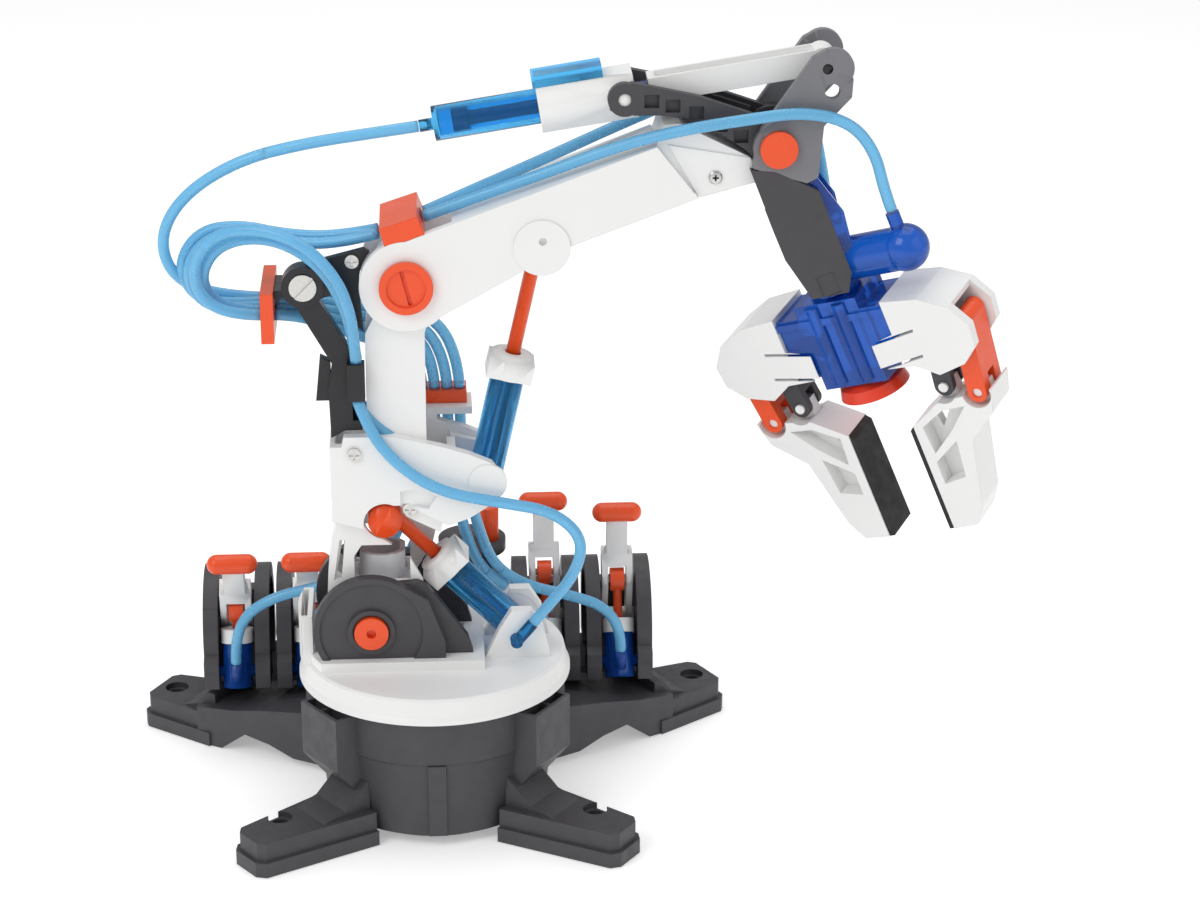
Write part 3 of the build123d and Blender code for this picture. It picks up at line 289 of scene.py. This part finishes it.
def arm_cylinders():
    def barrel_part(index, low, high):
        collar = high.y - low.y < COLLAR_DEEP * MM
        return (WHITE, "white_plastic") if collar else (BARREL, "blue_clear_plastic")

    def rod_part(index, low, high):
        piston = index > 0
        return (PISTON, "blue_clear_plastic") if piston else (ORANGE, "orange_plastic")

    def wrist_barrel_part(index, low, high):
        cradle = high.y - low.y > CRADLE_DEEP * MM
        return (WHITE, "white_plastic") if cradle else (BARREL, "blue_clear_plastic")

    def wrist_rod_part(index, low, high):
        bar = high.x > WRIST_BAR_X * MM
        return (WHITE, "white_plastic") if bar else (PISTON, "blue_clear_plastic")

    for name in ("shoulder", "elbow"):
        split_node(f"{name}_barrel", f"{name}_barrel", barrel_part)
        split_node(f"{name}_rod", f"{name}_rod", rod_part)
    split_node("wrist_barrel", "wrist_barrel", wrist_barrel_part)
    split_node("wrist_rod", "wrist_rod", wrist_rod_part)


def head():
    def cheek_part(index, low, high):
        pin = low.y < -CHEEK_PIN_Y * MM and high.y > CHEEK_PIN_Y * MM
        # the cheeks take the lighter grey of the painted highlight; the pin stays black
        return (BLACK, "black_plastic") if pin else (GREY_PAINTED_HIGHLIGHT, "silver_plastic")

    split_node("head_cheeks", "head", cheek_part)


def crank():
    def crank_part(index, low, high):
        disc = high.x - low.x > CRANK_DISC_WIDE * MM
        return (GREY, "grey_plastic") if disc else (ORANGE, "orange_plastic")

    split_node("crank", "crank", crank_part)


def screw_head(name, body, place):
    """A pan-head screw facing -Y, at a place in millimetres; its cross recess is a black box
    of painted shade.
    """
    mesh = bmesh.new()
    centre = Vector(place) * MM
    rings = []
    for depth, share in ((0, 1), (0.7, 1), (1.15, 0.82), (1.3, 0.45)):
        ring = []
        for k in range(SCREW_SIDES):
            a = 2 * math.pi * k / SCREW_SIDES
            reach = SCREW_R * share
            offset = Vector((math.cos(a) * reach, -depth, math.sin(a) * reach))
            ring.append(mesh.verts.new(centre + offset * MM))
        rings.append(ring)
    for one, two in zip(rings, rings[1:]):
        for k in range(SCREW_SIDES):
            after = (k + 1) % SCREW_SIDES
            mesh.faces.new((one[k], one[after], two[after], two[k]))
    mesh.faces.new(rings[0][::-1])
    mesh.faces.new(rings[-1])
    bmesh.ops.recalc_face_normals(mesh, faces=mesh.faces)
    shown(name, mesh, STEEL, body)
    # the cross recess is drawn as a raised black box: painted shade standing for the dark
    # inside of the recess
    cross = bmesh.new()
    for wide, tall in ((0.34, 1.2), (1.2, 0.34)):
        made = bmesh.ops.create_cube(cross, size=1)["verts"]
        for vertex in made:
            vertex.co = centre + Vector((vertex.co.x * 2 * wide, vertex.co.y * 0.5 - 1.2,
                                         vertex.co.z * 2 * tall)) * MM
    shown(f"{name}_cross", cross, BLACK, body)


# ---- hoses ----
def hose_line(name, points):
    """The hose's smooth line: points in millimetres are the spline's control points."""
    curve = bpy.data.curves.new(name, "CURVE")
    curve.dimensions = "3D"
    spline = curve.splines.new("NURBS")
    spline.points.add(len(points) - 1)
    for place, point in zip(spline.points, points):
        place.co = (*[c * MM for c in point], 1)
    spline.order_u = 3
    spline.use_endpoint_u = True
    spline.resolution_u = 12
    carrier = bpy.data.objects.new(name, curve)
    bpy.context.scene.collection.objects.link(carrier)
    bpy.context.view_layer.update()
    line = bpy.data.meshes.new_from_object(carrier)
    path = [v.co.copy() for v in line.vertices]
    bpy.data.objects.remove(carrier)
    return path


def tube(name, path):
    """A tube mesh along a path, with frames carried from point to point."""
    mesh = bmesh.new()
    radius = HOSE_D / 2 * MM
    heading = (path[1] - path[0]).normalized()
    across = heading.orthogonal().normalized()
    rings = []
    for i, point in enumerate(path):
        ahead = path[min(i + 1, len(path) - 1)] - path[max(i - 1, 0)]
        ahead.normalize()
        turn = heading.rotation_difference(ahead)
        across = turn @ across
        heading = ahead
        side = heading.cross(across)
        ring = []
        for k in range(HOSE_SIDES):
            a = 2 * math.pi * k / HOSE_SIDES
            ring.append(mesh.verts.new(point + radius * (math.cos(a) * across
                                                         + math.sin(a) * side)))
        rings.append(ring)
    for one, two in zip(rings, rings[1:]):
        for k in range(HOSE_SIDES):
            after = (k + 1) % HOSE_SIDES
            mesh.faces.new((one[k], one[after], two[after], two[k]))
    mesh.faces.new(rings[0][::-1])
    mesh.faces.new(rings[-1])
    data = bpy.data.meshes.new(name)
    mesh.to_mesh(data)
    mesh.free()
    data.materials.append(HOSE)
    data.shade_smooth()
    piece = bpy.data.objects.new(name, data)
    bpy.context.scene.collection.objects.link(piece)
    return piece


def add_hose(name, node, path, bodies):
    """A hose along a path: it rides on one body, or, given two, stays fixed where it is drawn.
    """
    piece = tube(name, path)
    if len(bodies) == 1:
        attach(piece, bodies[0])
    else:
        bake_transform(piece)
    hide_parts(node)


CONSOLE_HOSES = [
    [(-84, 47.6, 39.8), (-84, 46.6, 50), (-79, 46, 63), (-66, 45.5, 71), (-50, 45.5, 74.5),
     (-33, 45, 79), (-21, 42, 95), (-14, 35, 119), (-8.6, 25, 143), (-7.8, 22, 163)],
    [(-53, 47.6, 39.8), (-53, 46.6, 49), (-50, 45, 61), (-40, 43, 73), (-26, 41.6, 82),
     (-15.6, 39.4, 98), (-8.5, 33, 121), (-3.4, 25, 144), (-2.8, 22, 163)],
    [(-22, 50.5, 43.1), (-22, 52.6, 53), (-21, 54.4, 64), (-16.6, 51, 76), (-10, 44.6, 88),
     (-4.4, 37, 106), (-0.6, 29, 126), (1.8, 23.6, 146), (2.2, 22, 163)],
    [(48, 47.9, 42.8), (48, 46.6, 53), (43, 44.4, 65), (31, 42.4, 74), (19.6, 40.6, 84),
     (13.6, 37.4, 101), (10, 30.6, 123), (7.6, 24, 145), (7.2, 22, 163)],
    [(79, 47.6, 41.5), (79, 46.6, 51), (72, 45.4, 63), (57, 44.4, 69), (39, 43.6, 74),
     (25.6, 42, 84), (19.4, 37.6, 102), (15, 30.4, 124), (12.6, 24.4, 145),
     (12.2, 22, 163)]]
COMB_HOSES = [
    [(-7.8, 22, 171.2), (-8.2, 21.8, 179), (-13.4, 20.4, 188.4), (-25.6, 17, 195),
     (-38, 8.6, 202), (-49, 1, 209.4), (-58.8, -2, 211)],
    [(-2.8, 22, 171.2), (-3.2, 22, 180), (-9.4, 21.4, 191.4), (-23, 18.6, 198.6),
     (-38, 11.4, 204.6), (-49, 5.2, 210), (-58.8, 3.5, 211)],
    [(2.2, 22, 171.2), (1.8, 22.2, 181), (-4.6, 22.4, 194), (-20, 20.6, 201.4),
     (-37, 14.4, 206.6), (-48.6, 10, 210.4), (-58.8, 9, 211)],
    [(7.2, 22, 171.2), (6.8, 22.4, 181), (0, 23.2, 196), (-17, 22.6, 204),
     (-36, 18.4, 208.6), (-48.6, 15.2, 211), (-58.8, 14.5, 211)],
    [(12.2, 22, 171.2), (11.8, 22.6, 182), (4.6, 24.2, 198.6), (-14, 24.8, 206.8),
     (-35, 22.8, 211), (-48.6, 20.4, 211.6), (-58.8, 20, 211)]]
SHOULDER_LOW = [
    (39.7, -16.6, 84.1), (45.6, -16.8, 91.4), (56.4, -17.6, 105), (60, -19.2, 121),
    (48, -20.8, 133.6), (28, -21.4, 138), (4, -21.6, 143), (-13.6, -21, 155),
    (-24, -18.4, 169), (-27.9, -14.6, 179.8)]
ELBOW_LOW = [
    (-2, -11, 157.6), (-11.6, -12, 160.6), (-20.6, -12, 167.4), (-25.6, -11.2, 173.4),
    (-27.9, -10.2, 179.8)]
SHOULDER_UP = [
    (-27.9, -14.6, 195.2), (-28.4, -16.4, 205), (-29.6, -21, 218), (-34, -24, 232),
    (-45, -22, 244.6), (-61, -16, 249.6), (-77, -9.6, 247.6), (-88, -5, 237),
    (-89.6, -3, 222.6), (-79.4, -2, 211.4), (-64.2, -2, 211)]
ELBOW_UP = [
    (-27.9, -10.2, 195.2), (-28.8, -12.6, 204), (-31.8, -15.6, 219), (-39.6, -16, 234),
    (-53, -12.4, 243), (-68, -6.4, 244), (-81.6, -1.6, 238), (-88, 1.6, 224),
    (-79.6, 3.5, 211.4), (-64.2, 3.5, 211)]
HAND_LOOP_NEAR = [
    (-18.2, -2.8, 243.4), (-34, -1.4, 239), (-53, 3.4, 238.4), (-70, 7.4, 241.4),
    (-85.6, 9, 239), (-94, 9, 225.5), (-87.4, 9, 211.6), (-73, 9, 210.4), (-64.2, 9, 211)]
HAND_LOOP_FAR = [
    (-18.2, 3.5, 243.4), (-34, 5.4, 239.8), (-54, 9.8, 239.6), (-72, 13, 243),
    (-88, 14.5, 240.4), (-97, 14.5, 226.6), (-90.4, 14.5, 212.2), (-75, 14.5, 210.4),
    (-64.2, 14.5, 211)]
WRIST_LOOP = [
    (-1.9, 0, 284.7), (-18, 0.2, 282.4), (-44, 1, 278.6), (-70, 3, 272), (-92, 6.6, 258),
    (-103, 11.4, 240), (-100, 16, 222), (-84, 19.4, 212.4), (-64.2, 20, 211)]
HAND_NEAR = [
    (-0.6, -3, 249.9), (16, -5, 256.6), (46, -9.6, 268.2), (76, -14, 280.4),
    (99, -17.6, 286.6), (121, -20.4, 290.6), (143, -22.6, 294), (160.6, -22, 289.6),
    (170.4, -21, 277.6), (174.6, -20.2, 262), (177.6, -19.9, 254.4)]
HAND_FAR = [
    (-0.6, 3.5, 249.9), (16, 5.4, 256.6), (46, 10, 268.2), (76, 15, 280.4),
    (99, 19, 288.6), (120, 22.4, 295), (138, 23.8, 296.4), (150, 23.2, 285),
    (154.6, 21.6, 268), (157.2, 20.5, 252.2)]


def hoses():
    for number, points in enumerate(CONSOLE_HOSES, 1):
        path = hose_line(f"console_line_{number}", points)
        middle = next(i for i, p in enumerate(path) if p.z > HOSE_SPLIT_Z * MM)
        add_hose(f"hose_console_{number}", "hoses_console", path[:middle + 1],
                 ("base", "turntable"))
        add_hose(f"hose_rise_{number}", "hoses_console", path[middle:],
                 ("turntable", "lower_arm"))
    for number, points in enumerate(COMB_HOSES, 1):
        path = hose_line(f"comb_line_{number}", points)
        add_hose(f"hose_comb_{number}", "hoses_arm", path, ("lower_arm",))
    add_hose("hose_shoulder_low", "hoses_arm", hose_line("line_a", SHOULDER_LOW),
             ("turntable", "lower_arm"))
    add_hose("hose_elbow_low", "hoses_arm", hose_line("line_b", ELBOW_LOW), ("lower_arm",))
    add_hose("hose_shoulder_up", "hoses_arm", hose_line("line_c", SHOULDER_UP), ("lower_arm",))
    add_hose("hose_elbow_up", "hoses_arm", hose_line("line_d", ELBOW_UP), ("lower_arm",))
    for name, points in (("near", HAND_LOOP_NEAR), ("far", HAND_LOOP_FAR)):
        path = hose_line(f"line_{name}", points)[::-1]
        add_hose(f"hose_loop_{name}", "hoses_hand", path, ("lower_arm", "upper_arm"))
    path = hose_line("line_wrist", WRIST_LOOP)
    middle = next(i for i, p in enumerate(path) if p.x < LOOP_SPLIT_X * MM)
    add_hose("hose_wrist_end", "hoses_hand", path[:middle + 1], ("wrist_barrel", "upper_arm"))
    add_hose("hose_wrist_loop", "hoses_hand", path[middle:][::-1], ("lower_arm", "upper_arm"))
    for name, points in (("near", HAND_NEAR), ("far", HAND_FAR)):
        path = hose_line(f"line_hand_{name}", points)
        middle = next(p for p in path if p.x > HAND_BEND_X * MM)
        add_hose(f"hose_hand_{name}", "hoses_hand", path, ("upper_arm", "head"))


# ---- stage ----
def stage():
    data = bpy.data.meshes.new("floor")
    size = FLOOR_HALF * MM
    data.from_pydata([(-size, -size, 0), (size, -size, 0), (size, size, 0), (-size, size, 0)],
                     [], [(0, 1, 2, 3)])
    floor = bpy.data.objects.new("floor", data)
    floor.location.z = -FLOOR_DROP * MM
    bpy.context.scene.collection.objects.link(floor)
    material = bpy.data.materials.new("floor")
    material.use_nodes = True
    shader = material.node_tree.nodes["Principled BSDF"]
    socket(shader, "Base Color", (0.93, 0.93, 0.93, 1))
    socket(shader, "Roughness", 0.9)
    socket(shader, "Emission Color", (1, 1, 1, 1))
    socket(shader, "Emission Strength", FLOOR_GLOW)
    data.materials.append(material)

    world = bpy.data.worlds.new("studio")
    bpy.context.scene.world = world
    world.use_nodes = True
    background = world.node_tree.nodes["Background"]
    background.inputs["Color"].default_value = (1, 1, 1, 1)
    background.inputs["Strength"].default_value = WORLD_LIGHT

    def lamp(name, place, aim, size, power):
        light = bpy.data.lights.new(name, "AREA")
        light.size = size
        light.energy = power
        thing = bpy.data.objects.new(name, light)
        thing.location = place
        heading = Vector(aim) - Vector(place)
        thing.rotation_euler = heading.to_track_quat("-Z", "Y").to_euler()
        bpy.context.scene.collection.objects.link(thing)

    lamp("key", (-0.9, -0.9, 1.3), (0, 0, 0.12), 0.9, 8)
    lamp("fill", (1.2, -0.8, 0.9), (0, 0, 0.12), 1.2, 2.5)
    lamp("top", (0.1, 0.4, 1.6), (0, 0, 0.1), 1.4, 8)


def camera():
    data = bpy.data.cameras.new("camera")
    data.sensor_width = 36
    data.lens = CAMERA_LENS
    view = bpy.data.objects.new("camera", data)
    view.location = Vector(CAMERA_AT) * MM
    view.rotation_euler = (math.radians(90 - CAMERA_DOWN), 0, math.radians(-CAMERA_RIGHT))
    bpy.context.scene.collection.objects.link(view)
    bpy.context.scene.camera = view


dress_nodes()
levers()
control_cylinders()
arm_cylinders()
head()
crank()
screw_head("end_block_screw", "upper_arm", (110.6, -13.7, 266.6))
hoses()
stage()
camera()
bpy.context.scene.view_settings.view_transform = "Standard"
